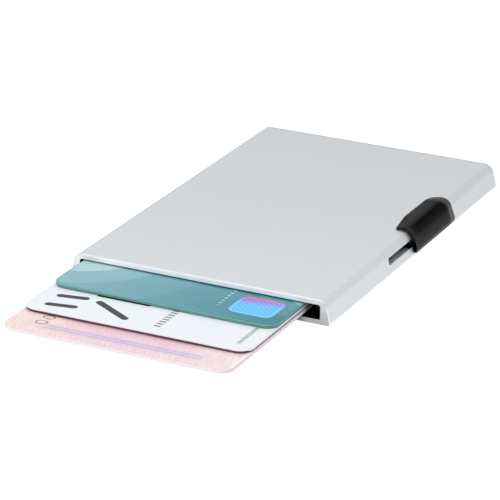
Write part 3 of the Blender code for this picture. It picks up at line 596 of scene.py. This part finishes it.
def teal_print(turn):
    """Top card's face: teal with broad curved bands, a column of dots and a foil patch."""
    look = Finish("teal_card_print")
    place = card_place(look, "card_top", turn)
    x, y, _ = look.split(place)
    shade = look.ramp((x + CARD_SPAN / 2) / CARD_SPAN,
                      [(0.0, ink(133, 177, 190)), (0.35, ink(117, 167, 181)), (0.75, ink(102, 154, 166)),
                       (1.0, ink(84, 140, 150))])
    left = round_distance(x, y, (-30.0, -20.0))
    bands = (left - 15.0).within() * 0.6 + (left - 22.0).within() * 0.22 + (left - 33.0).within() * 0.10
    colour = look.mix(bands & 1.0, shade, ink(180, 217, 220))
    right = round_distance(x, y, (32.0, -20.0))
    colour = look.mix((right - 11.0).within() * 0.55, colour, ink(172, 212, 214))
    colour = look.mix((right - 17.5).within() * 0.20, colour, ink(150, 196, 204))
    fine = abs(left.repeat(3.4) - 0.2).within(0.12) * (1 - (left - 48.0).within(18.0))
    colour = look.mix(fine * 0.10, colour, ink(60, 116, 130))
    border = card_border(x, y)
    colour = look.mix((abs(border + 1.4) - 0.07).within() * 0.35, colour, ink(150, 206, 196))
    # Painted shade along the card's outline.
    colour = look.mix((-0.30 - border).within(0.2) * 0.45, colour, ink(78, 132, 140))
    dots = (round_distance(x, y.repeat(1.5), (10.9, 0.0)) - 0.36).within() * (abs(y + 32.8) - 4.6).within()
    colour = look.mix(dots * 0.8, colour, ink(190, 226, 228))
    patch = rounded_box(x, y, (19.0, -34.6), (5.3, 4.7), 2.0)
    rainbow = look.ramp((y + 39.4) / 9.6 - (x - 19.0) * 0.012,
                        [(0.0, ink(104, 200, 250)), (0.62, ink(110, 196, 250)), (0.76, ink(150, 150, 238)),
                         (0.88, ink(168, 126, 214)), (1.0, ink(226, 84, 92))])
    sheen = ((x + y).repeat(1.4) - 0.35).within(0.3) * 0.14
    rainbow = look.mix(sheen, rainbow, ink(214, 232, 250))
    colour = look.mix(patch.within(), colour, rainbow)
    colour = look.mix((abs(patch + 0.45) - 0.06).within() * 0.6, colour, ink(226, 240, 250))
    return overlay(look, place, colour, patch.within())


def white_print(turn):
    """Middle card's face: white with bold bars, a slanted stroke and two columns of fine dashes."""
    look = Finish("white_card_print")
    place = card_place(look, "card_middle", turn)
    x, y, _ = look.split(place)
    fade = look.noise(place, 0.12, 2.0)
    colour = look.mix(fade, ink(237, 242, 246), ink(240, 244, 250))
    bars = (((-19.5, -38.5), 10, 2.9), ((-19.5, -33.2), 10, 2.9), ((-19.5, -28.0), 10, 2.9),
            ((-8.5, -35.9), -31, 5.2), ((-8.8, -29.5), 0, 5.8))
    strokes = together([stroke(x, y, centre, math.radians(slant), half, 0.85).within()
                        for centre, slant, half in bars])
    colour = look.mix(strokes, colour, ink(86, 90, 96))
    dashes = (y.repeat(1.3) - 0.34).within() * (abs(x - 4.0) - 0.8).within() * (abs(y + 34.0) - 5.4).within()
    finer = (y.repeat(0.8) - 0.24).within() * (abs(x - 23.3) - 0.5).within() * (abs(y + 34.6) - 4.8).within()
    colour = look.mix(dashes * 0.75 | finer * 0.7, colour, ink(100, 104, 112))
    return overlay(look, place, colour, strokes)


def rose_print(turn):
    """Bottom card's face: peach to rose with slanted streaks, a band of crossing waves and two loops."""
    look = Finish("rose_card_print")
    place = card_place(look, "card_bottom", turn)
    x, y, _ = look.split(place)
    shade = look.ramp((x + CARD_SPAN / 2) / CARD_SPAN,
                      [(0.0, ink(244, 227, 216)), (0.22, ink(244, 220, 214)), (0.5, ink(230, 208, 222)),
                       (0.8, ink(239, 221, 228)), (1.0, ink(243, 230, 232))])
    colour = look.mix(ROSE_WASH, shade, ink(246, 208, 222))
    slanted = look.place(turn=-turn - STREAK_SLANT)
    streaks = look.noise(look.stretched(slanted, (2.1, 0.30, 1.0)), 1.0, 3.0, 0.7)
    colour = look.mix((0.50 - streaks).within(0.16) * 0.50, colour, ink(250, 238, 226))
    colour = look.mix((streaks - 0.43).within(0.12) * 0.45, colour, ink(240, 200, 208))
    blush = (-35.6 - y).within(3.0) * (abs(x - 1.0) - 15.0).within(4.0)
    colour = look.mix(blush * 0.6, colour, ink(232, 190, 206))
    veil = (abs(y + 38.7) - 1.6).within(1.6) * (abs(x + 1.0) - 20.0).within(6.0)
    colour = look.mix(veil * (0.30 + look.noise(place, 0.35, 2.0) * 0.55), colour, ink(216, 200, 230))
    lines = [abs(y - level - (x * (2 * math.pi / 3.4) + start).wave() * 0.20) - 0.05
             for level, start in ((-39.3, 0.0), (-39.3, math.pi), (-38.1, 1.0), (-38.1, 1.0 + math.pi))]
    waves = together([line.within(0.12) for line in lines]) * (abs(x - 0.5) - 18.5).within(1.0)
    colour = look.mix(waves * 0.85, colour, ink(146, 136, 196))
    # Painted light on the right-hand margin, which lies in the white card's shade.
    colour = look.mix((26.2 - x).within(0.7), colour, ink(250, 243, 247))
    border = card_border(x, y)
    # Painted shade along the card's outline.
    colour = look.mix((-0.16 - border).within(0.2) * 0.4, colour, ink(214, 196, 192))
    loops = together([(abs(rounded_box(x, y, centre, (1.25, 0.8), 0.7)) - 0.13).within()
                      for centre in ((-19.8, -37.2), (-19.6, -34.2))])
    colour = look.mix(loops * 0.85, colour, ink(96, 84, 88))
    return overlay(look, place, colour, waves)


def card_back(name, node, turn, colour_one, colour_two):
    """Underside of a card: magnetic stripe, signature panel and a rule, on a plain tint."""
    look = Finish(name)
    place = card_place(look, node, turn)
    x, y, _ = look.split(place)
    tint = look.mix(look.noise(place, 0.15, 2.0), colour_one, colour_two)
    panel = rounded_box(x, y, (6.0, 2.0), (4.6, 31.0), 0.5)
    hatch = ((x + y).repeat(1.1) - 0.2).within(0.15) * 0.22
    paper = look.mix(hatch, ink(243, 243, 240), ink(176, 190, 206))
    colour = look.mix(panel.within(), tint, paper)
    stripe = (abs(x + 16.0) - 6.35).within()
    ribs = look.noise(look.stretched(place, (8.0, 0.2, 1.0)), 1.0, 2.0)
    tape = look.mix(ribs, (0.010, 0.009, 0.009), (0.022, 0.019, 0.018))
    colour = look.mix(stripe, colour, tape)
    rule = (abs(x - 13.6) - 0.12).within() * (abs(y - 2.0) - 30.0).within()
    colour = look.mix(rule * 0.7, colour, ink(120, 124, 132))
    return overlay(look, place, colour, stripe)


def card_core(name, node, foot, layers, right_shade_drop=0.0):
    """Punched edge of a card: its foot, then the layers by the level where each begins; make_cards says which
    are laminate, painted shadow and painted highlight.

    The layers begin lower by the drop on the card's right-hand side, which narrows a painted shadow there.
    """
    look = Finish(name, Specular_IOR_Level=0.3)
    place = card_place(look, node, 0.0)
    x, _, z = look.split(place)
    grain = look.noise(place, 6.0, 3.0)
    drop = (26.6 - x).within(0.4) * right_shade_drop
    colour = look.mix(grain * 0.15, foot, layers[0][1])
    for level, layer in layers:
        colour = look.mix((level - drop - z).within(0.04), colour, layer)
    return look.show(colour, 0.45 + grain * 0.2, look.bump(grain, 0.01 * MM, 0.4))


def plate(corners, radii):
    """Flat face through the corners, each one turned to an arc of its own radius."""
    flat = bmesh.new()
    tips = [flat.verts.new((u, v, 0)) for u, v in corners]
    flat.faces.new(tips)
    for tip, radius in zip(tips, radii):
        if radius:
            one, two = [edge.other_vert(tip).co - tip.co for edge in tip.link_edges]
            reach = radius / math.tan(one.angle(two) / 2)
            bmesh.ops.bevel(flat, geom=[tip], offset=reach, segments=ARC_STEPS, profile=0.5,
                            affect="VERTICES", material=-1)
    return flat


def rectangle(u_low, u_high, v_low, v_high):
    """Corners of a rectangle between these limits."""
    return [(u_low, v_low), (u_high, v_low), (u_high, v_high), (u_low, v_high)]


def drawn_out(flat, axis, start, end):
    """Solid from a flat plate, stood square to the axis and drawn out from start to end."""
    bmesh.ops.transform(flat, matrix=STAND[axis].to_4x4(), verts=flat.verts)
    bmesh.ops.translate(flat, verts=flat.verts, vec=ALONG[axis] * start)
    grown = bmesh.ops.extrude_face_region(flat, geom=flat.faces[:])["geom"]
    moved = [item for item in grown if isinstance(item, bmesh.types.BMVert)]
    bmesh.ops.translate(flat, verts=moved, vec=ALONG[axis] * (end - start))
    bmesh.ops.recalc_face_normals(flat, faces=flat.faces)
    return flat


def eased(solid, edges, width, steps=EDGE_STEPS):
    """Round off edges of a solid."""
    bmesh.ops.bevel(solid, geom=edges, offset=width, segments=steps, profile=0.5, affect="EDGES",
                    material=-1, clamp_overlap=True)
    bmesh.ops.dissolve_degenerate(solid, edges=solid.edges, dist=WELD)


def turned(profile, centre):
    """Upright solid of revolution from pairs of radius and height."""
    solid = bmesh.new()
    chain = [solid.verts.new((radius, 0, height)) for radius, height in profile]
    for one, two in zip(chain, chain[1:]):
        solid.edges.new((one, two))
    bmesh.ops.spin(solid, geom=solid.verts[:] + solid.edges[:], cent=(0, 0, 0), axis=ALONG["Z"],
                   angle=2 * math.pi, steps=TURN_STEPS, use_merge=True)
    bmesh.ops.remove_doubles(solid, verts=solid.verts, dist=WELD)
    bmesh.ops.recalc_face_normals(solid, faces=solid.faces)
    bmesh.ops.translate(solid, verts=solid.verts, vec=centre)
    return solid


def piece(name, solid, looks):
    """Object from a solid made in place."""
    mesh = bpy.data.meshes.new(name)
    solid.to_mesh(mesh)
    solid.free()
    item = bpy.data.objects.new(name, mesh)
    bpy.context.scene.collection.objects.link(item)
    for look in looks:
        mesh.materials.append(look)
    return item


def smooth(item, sharp=SHARP_ANGLE):
    """Smooth shading that keeps crisp edges, and keeps broad faces flat."""
    item.data.shade_smooth()
    item.data.set_sharp_from_angle(angle=sharp)
    keeper = item.modifiers.new("flat_faces", "WEIGHTED_NORMAL")
    keeper.keep_sharp = True
    return item


def carved(item, solid, material):
    """Cut a solid out of a piece for good. The cut's faces take the material of that number."""
    for face in solid.faces:
        face.material_index = material
    cutter = piece("cutter", solid, item.data.materials[:])
    change = item.modifiers.new("cut", "BOOLEAN")
    change.operation = "DIFFERENCE"
    change.solver = "EXACT"
    change.object = cutter
    bpy.context.view_layer.update()
    done = bpy.data.meshes.new_from_object(item.evaluated_get(bpy.context.evaluated_depsgraph_get()))
    item.modifiers.remove(change)
    item.data = done
    bpy.data.objects.remove(cutter)


def sleeve_section():
    """Flat outline of the sleeve, seen from the front."""
    foot = FOOT_WIDTH / 2
    top = foot - SLEEVE_HEIGHT * math.tan(SIDE_LEAN)
    corners = [(-foot, 0), (foot, 0), (top, SLEEVE_HEIGHT), (-top, SLEEVE_HEIGHT)]
    return plate(corners, [FOOT_CORNER_RADIUS, FOOT_CORNER_RADIUS, TOP_CORNER_RADIUS, TOP_CORNER_RADIUS])


def make_sleeve(skin, bright, lining, end_face):
    """Sleeve: extruded tube with bright cut ends, a dark lining, the slot and two screw seats."""
    tube = drawn_out(sleeve_section(), "Y", MOUTH, BACK)
    rims = [edge for edge in tube.edges if abs(edge.verts[0].co.y - edge.verts[1].co.y) < WELD]
    eased(tube, rims, RIM_BEVEL)
    for face in tube.faces:
        if abs(face.normal.y) > SQUARE_ON:
            face.material_index = END_FACE
        elif face.calc_center_median().y < MOUTH + RIM_BEVEL:
            face.material_index = BRIGHT
    sleeve = piece("sleeve", tube, [skin, bright, lining, end_face])
    half = CAVITY_WIDTH / 2
    cavity = plate(rectangle(-half, half, CAVITY_FLOOR, CAVITY_ROOF),
                   [CAVITY_FLOOR_RADIUS, CAVITY_FLOOR_RADIUS, CAVITY_TOP_RADIUS, CAVITY_TOP_RADIUS])
    carved(sleeve, drawn_out(cavity, "Y", MOUTH - OVERRUN, BACK + OVERRUN), LINING)
    slot = plate(rectangle(MOUTH + SLOT_FRONT, MOUTH + SLOT_REAR, SLOT_LEVEL - SLOT_HEIGHT / 2,
                           SLOT_LEVEL + SLOT_HEIGHT / 2), [SLOT_CORNER_RADIUS] * 4)
    carved(sleeve, drawn_out(slot, "X", half - OVERRUN, FOOT_WIDTH / 2 + OVERRUN), SKIN)
    cone = CAP_SCREW_HEAD_RADIUS - CAP_SCREW_RADIUS
    for side in (-1, 1):
        seat = [(0, -OVERRUN), (CAP_SCREW_HEAD_RADIUS, -OVERRUN), (CAP_SCREW_HEAD_RADIUS, CAP_SCREW_SINK),
                (CAP_SCREW_RADIUS, CAP_SCREW_SINK + cone), (CAP_SCREW_RADIUS, CAVITY_FLOOR + OVERRUN),
                (0, CAVITY_FLOOR + OVERRUN)]
        carved(sleeve, turned(seat, Vector((side * CAP_SCREW_REACH, CAP_SCREW_PLACE, 0))), SKIN)
    ease_openings(sleeve)
    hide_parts("shell")
    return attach(smooth(sleeve), "case")


def cavity_rims(solid):
    """Inner edges of the sleeve's two ends."""
    half = CAVITY_WIDTH / 2
    return [edge for edge in solid.edges
            if all(abs(abs(vert.co.y) - BACK) < WELD for vert in edge.verts)
            and all(abs(vert.co.x) < half + WELD and CAVITY_FLOOR - WELD < vert.co.z < CAVITY_ROOF + WELD
                    for vert in edge.verts)
            and any(abs(face.normal.y) < EDGE_ON for face in edge.link_faces)]


def slot_rim(solid):
    """Outer edge of the sleeve's slot."""
    rim = []
    for edge in solid.edges:
        normals = [face.normal for face in edge.link_faces]
        outside = min(vert.co.x for vert in edge.verts) > CAVITY_WIDTH / 2 + MOUTH_BEVEL
        if len(normals) == 2 and outside and abs(edge.verts[0].co.y) < BACK - RIM_BEVEL * 2:
            on_side = any(normal.x > FACING for normal in normals)
            in_slot = any(abs(normal.x) < EDGE_ON for normal in normals)
            if on_side and in_slot:
                rim.append(edge)
    return rim


def ease_openings(sleeve):
    """Break the inner edges of both ends, and the outer edge of the slot."""
    solid = bmesh.new()
    solid.from_mesh(sleeve.data)
    bmesh.ops.remove_doubles(solid, verts=solid.verts, dist=WELD)
    eased(solid, cavity_rims(solid), MOUTH_BEVEL, OPENING_STEPS)
    for face in solid.faces:
        if face.material_index == LINING and BACK - abs(face.calc_center_median().y) < MOUTH_BEVEL:
            face.material_index = BRIGHT
    eased(solid, slot_rim(solid), SLOT_BEVEL, OPENING_STEPS)
    solid.to_mesh(sleeve.data)
    solid.free()


def share_of(part, whole):
    """Part of a whole, kept between none and all of it."""
    return min(max(part / whole, 0), 1)


def button_foot():
    """Way round the corner to the pad's lower edge."""
    lean = math.pi / 2 - SIDE_LEAN
    side_start = SLEEVE_HEIGHT - TOP_CORNER_RADIUS * (1 - math.cos(lean))
    return TOP_CORNER_RADIUS * lean + (side_start - BUTTON_FOOT_LEVEL) / math.cos(SIDE_LEAN)


def button_thickness(way, place):
    """Thickness of the pad, at a way round the corner and a distance from its front.

    It thins evenly towards the rear, where it falls off in a facet, and is feathered at its upper edge.
    """
    backwards = share_of(place, BUTTON_LENGTH)
    even = BUTTON_FRONT_THICKNESS + (BUTTON_REAR_THICKNESS - BUTTON_FRONT_THICKNESS) * backwards
    into_tail = share_of(place - BUTTON_LENGTH + BUTTON_TAIL_LENGTH, BUTTON_TAIL_LENGTH)
    even -= (BUTTON_REAR_THICKNESS - BUTTON_TAIL_THICKNESS) * into_tail
    drawn = BUTTON_FRONT_DRAW * (1 - share_of(place, BUTTON_DRAW_LENGTH))
    inwards = share_of(way + BUTTON_TOP_REACH - drawn, BUTTON_FEATHER)
    upwards = share_of(button_foot() - way, BUTTON_HEM)
    feather = BUTTON_FEATHER_SHARE + (1 - BUTTON_FEATHER_SHARE) * math.sin(inwards * math.pi / 2)
    return even * feather * (BUTTON_HEM_SHARE + (1 - BUTTON_HEM_SHARE) * upwards)


def bend_over_corner(solid):
    """Wrap a pad that was made flat over the sleeve's right-hand top corner."""
    lean = math.pi / 2 - SIDE_LEAN
    top = FOOT_WIDTH / 2 - SLEEVE_HEIGHT * math.tan(SIDE_LEAN)
    centre_x = top - TOP_CORNER_RADIUS * math.tan(lean / 2)
    centre_z = SLEEVE_HEIGHT - TOP_CORNER_RADIUS
    for vert in solid.verts:
        way, height = vert.co.x, vert.co.z
        angle = min(max(way / TOP_CORNER_RADIUS, 0), lean)
        before = min(way, 0)
        after = max(way - TOP_CORNER_RADIUS * lean, 0)
        reach = TOP_CORNER_RADIUS + height
        vert.co.x = centre_x + before + reach * math.sin(angle) + after * math.cos(angle)
        vert.co.z = centre_z + reach * math.cos(angle) - after * math.sin(angle)


def make_pad(look):
    """Button's pad: a plate with a soft rim, thinned towards its edges and bent over the corner."""
    arc = TOP_CORNER_RADIUS * (math.pi / 2 - SIDE_LEAN)
    upper = -BUTTON_TOP_REACH
    rear = BUTTON_FRONT + BUTTON_LENGTH
    corners = [(upper + BUTTON_FRONT_DRAW, BUTTON_FRONT), (button_foot(), BUTTON_FRONT),
               (button_foot(), rear + BUTTON_TAIL_SLANT), (arc, rear - BUTTON_TAIL_HOLLOW), (upper, rear),
               (upper, BUTTON_FRONT + BUTTON_DRAW_LENGTH)]
    pad = drawn_out(plate(corners, BUTTON_RADII), "Z", BUTTON_LIFT, BUTTON_LIFT + BUTTON_FRONT_THICKNESS)
    crown = BUTTON_LIFT + BUTTON_FRONT_THICKNESS / 2
    rim = [edge for edge in pad.edges if all(vert.co.z > crown for vert in edge.verts)]
    eased(pad, rim, BUTTON_EDGE, RIM_STEPS)
    # Cuts where it bends round the corner, and where it thins at the tail, the upper edge and the hem
    cuts = [("X", arc * step / BEND_STEPS) for step in range(BEND_STEPS + 1)]
    cuts += [("Y", rear - BUTTON_TAIL_LENGTH * step / TAIL_STEPS) for step in range(1, TAIL_STEPS + 1)]
    cuts += [("Y", BUTTON_FRONT + BUTTON_LENGTH * step / LENGTH_STEPS) for step in range(1, LENGTH_STEPS - 1)]
    cuts += [("X", upper + BUTTON_FEATHER * step / TAIL_STEPS) for step in range(1, TAIL_STEPS)]
    cuts += [("X", button_foot() - BUTTON_HEM * step / HEM_STEPS) for step in range(1, HEM_STEPS + 1)]
    for axis, place in cuts:
        bmesh.ops.bisect_plane(pad, geom=pad.verts[:] + pad.edges[:] + pad.faces[:],
                               plane_co=ALONG[axis] * place, plane_no=ALONG[axis], dist=WELD)
    for vert in pad.verts:
        height = (vert.co.z - BUTTON_LIFT) / BUTTON_FRONT_THICKNESS
        vert.co.z = BUTTON_LIFT + height * button_thickness(vert.co.x, vert.co.y - BUTTON_FRONT)
    bend_over_corner(pad)
    bmesh.ops.recalc_face_normals(pad, faces=pad.faces)
    return piece("button_pad", pad, [look])


def make_neck(look):
    """Button's neck, which runs in the slot."""
    half = NECK_HEIGHT / 2
    side = FOOT_WIDTH / 2 - (SLOT_LEVEL + half) * math.tan(SIDE_LEAN)
    neck = drawn_out(plate(rectangle(NECK_FRONT, NECK_REAR, SLOT_LEVEL - half, SLOT_LEVEL + half),
                           [NECK_CORNER_RADIUS] * 4), "X", NECK_INNER, side + BUTTON_LIFT + NECK_SINK)
    eased(neck, [edge for edge in neck.edges if all(vert.co.x > side for vert in edge.verts)], NECK_EDGE)
    return piece("button_neck", neck, [look])


def make_button(look):
    """Slider's button: its pad over the corner, and its neck through the slot."""
    pad = make_pad(look)
    neck = make_neck(look)
    for item in (pad, neck):
        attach(smooth(item, BUTTON_CREASE), "slider")
    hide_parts("slider_button")


def make_card(node, name, body, turn, face_print, core, back):
    """One card: a punched laminate with round corners and slightly broken edges.

    Its core is given by what card_core needs, and its back by two tints.
    """
    looks = [face_print(turn), card_core(f"{name}_core", node, *core),
             card_back(f"{name}_back", node, turn, *back)]
    low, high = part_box(node)
    centre = (low + high) / 2
    outline = plate(rectangle(-CARD_WIDTH / 2, CARD_WIDTH / 2, -CARD_LENGTH / 2, CARD_LENGTH / 2),
                    [CARD_CORNER_RADIUS] * 4)
    thickness = high.z - low.z
    card = drawn_out(outline, "Z", -thickness / 2, thickness / 2)
    rims = [edge for edge in card.edges if abs(edge.verts[0].co.z - edge.verts[1].co.z) < WELD]
    eased(card, rims, CARD_EDGE, FINE_STEPS)
    bmesh.ops.rotate(card, verts=card.verts, matrix=Matrix.Rotation(turn, 3, "Z"))
    bmesh.ops.translate(card, verts=card.verts, vec=centre)
    for face in card.faces:
        if face.normal.z > FACING:
            face.material_index = PRINTED
        elif face.normal.z < -FACING:
            face.material_index = BACKED
        else:
            face.material_index = PUNCHED
    item = piece(name, card, looks)
    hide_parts(node)
    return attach(smooth(item), body)


def eased_copy(node, name, width, look, body):
    """Copy of a moulded CAD node, with its sharp edges broken."""
    solid = bmesh.new()
    solid.from_mesh(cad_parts[node].data)
    bmesh.ops.remove_doubles(solid, verts=solid.verts, dist=WELD)
    bmesh.ops.dissolve_limit(solid, angle_limit=FLAT_ANGLE, verts=solid.verts, edges=solid.edges)
    bmesh.ops.recalc_face_normals(solid, faces=solid.faces)
    sharp = [edge for edge in solid.edges
             if len(edge.link_faces) == 2 and edge.calc_face_angle() > SHARP_ANGLE]
    eased(solid, sharp, width, FINE_STEPS)
    item = piece(name, solid, [look])
    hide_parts(node)
    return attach(smooth(item), body)


def repaint(node, look):
    """Better finish for a CAD node that stays as it is."""
    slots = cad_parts[node].data.materials
    slots.clear()
    slots.append(look)


def make_floor(look):
    """Plain white floor."""
    sheet = bmesh.new()
    bmesh.ops.create_grid(sheet, x_segments=FLOOR_CELLS, y_segments=FLOOR_CELLS, size=FLOOR_REACH)
    bmesh.ops.translate(sheet, verts=sheet.verts, vec=(0, 0, -FLOOR_GAP))
    floor = piece("floor", sheet, [look])


def room_patch(room, direction, centre, core, reach):
    """Round patch of the room's walls: 1 at its core, 0 beyond its reach."""
    facing = room.node("ShaderNodeVectorMath", {"operation": "DOT_PRODUCT"}, {0: direction, 1: centre},
                       out="Value")
    return room.node("ShaderNodeMapRange", {"interpolation_type": "SMOOTHSTEP"},
                     {"Value": facing, "From Min": math.cos(reach), "From Max": math.cos(core)})


def light_room():
    """Room that brightens upwards, with a darker and a lighter patch at the back, and two soft boxes."""
    room = Room("studio")
    bpy.context.scene.world = room.material
    direction = room.node("ShaderNodeTexCoord", out="Generated")
    flag = room_patch(room, direction, FLAG_DIRECTION, FLAG_CORE, FLAG_REACH)
    glow = room_patch(room, direction, GLOW_DIRECTION, GLOW_CORE, GLOW_REACH)
    room.plug(room.shader.inputs["Color"], (1.0, 1.0, 1.0))
    _, along, upwards = room.split(direction)
    even = (upwards | 0) * OVERHEAD_LIGHT + along * BACK_LIGHT + HORIZON_LIGHT
    room.plug(room.shader.inputs["Strength"], even + glow * GLOW_LIGHT - flag * FLAG_DEPTH)
    bpy.context.scene.view_settings.view_transform = "Standard"
    for name, place, width, power in SOFT_BOXES:
        light = bpy.data.lights.new(name, "AREA")
        light.shape = "SQUARE"
        light.size = width
        light.energy = power
        lamp = bpy.data.objects.new(name, light)
        bpy.context.scene.collection.objects.link(lamp)
        lamp.location = place
        lamp.rotation_euler = (VIEW_TARGET - Vector(place)).to_track_quat("-Z", "Y").to_euler()


def make_cards():
    """Three cards, turned a little against each other as they lie in the photograph."""
    # Top card's edge: green laminate layers, with a painted highlight along the top and painted shadow at the
    # foot.
    make_card("card_top", "teal_card", "top_card", -CARD_TURN, teal_print,
              (tone(76, 106, 106), [(-0.20, tone(118, 162, 154)), (-0.02, tone(62, 118, 110)),
                                    (0.17, tone(124, 190, 174))]),
              (ink(120, 168, 180), ink(132, 178, 190)))
    # Middle card's edge: white laminate, with painted shadow on its lower part, narrower on the right-hand
    # side.
    make_card("card_middle", "white_card", "middle_card", 0.0, white_print,
              (tone(86, 56, 70), [(-0.12, tone(92, 60, 74)), (0.10, tone(238, 236, 243))], 0.20),
              (ink(232, 234, 238), ink(240, 242, 246)))
    make_card("card_bottom", "rose_card", "bottom_card", CARD_TURN, rose_print,
              (tone(224, 215, 220), [(-0.22, tone(230, 220, 225)), (0.20, tone(234, 218, 225))]),
              (ink(238, 220, 216), ink(242, 226, 224)))


def dress():
    """Make every piece, finish every node, and light the set."""
    aim_camera()
    light_room()
    make_floor(floor_finish())
    make_sleeve(anodised_finish(), cut_edge_finish(), lining_finish(), end_face_finish())
    make_button(satin_plastic_finish())
    make_cards()

    moulded = moulded_finish()
    steel = steel_finish()
    eased_copy("end_cap", "cap_plug", CAP_EDGE, moulded, "case")
    eased_copy("left_guide", "long_guide", GUIDE_EDGE, moulded, "case")
    eased_copy("right_guide", "short_guide", GUIDE_EDGE, moulded, "case")
    eased_copy("carriage", "carriage_rail", CARRIAGE_EDGE, moulded, "slider")
    eased_copy("stepped_ejector", "ejector_stairs", EJECTOR_EDGE, moulded, "slider")
    for node in ("cap_screw_left", "cap_screw_right", "button_screw_front", "button_screw_rear",
                 "keeper_plate", "ejector_rivet_left", "ejector_rivet_right"):
        repaint(node, steel)
    felt = felt_finish()
    silicone = silicone_finish()
    for side in ("left", "right"):
        repaint(f"felt_strip_{side}", felt)
        repaint(f"end_buffer_{side}", silicone)
    repaint("retaining_spring", bronze_finish())
    repaint("catch_magnet", nickel_finish())


dress()
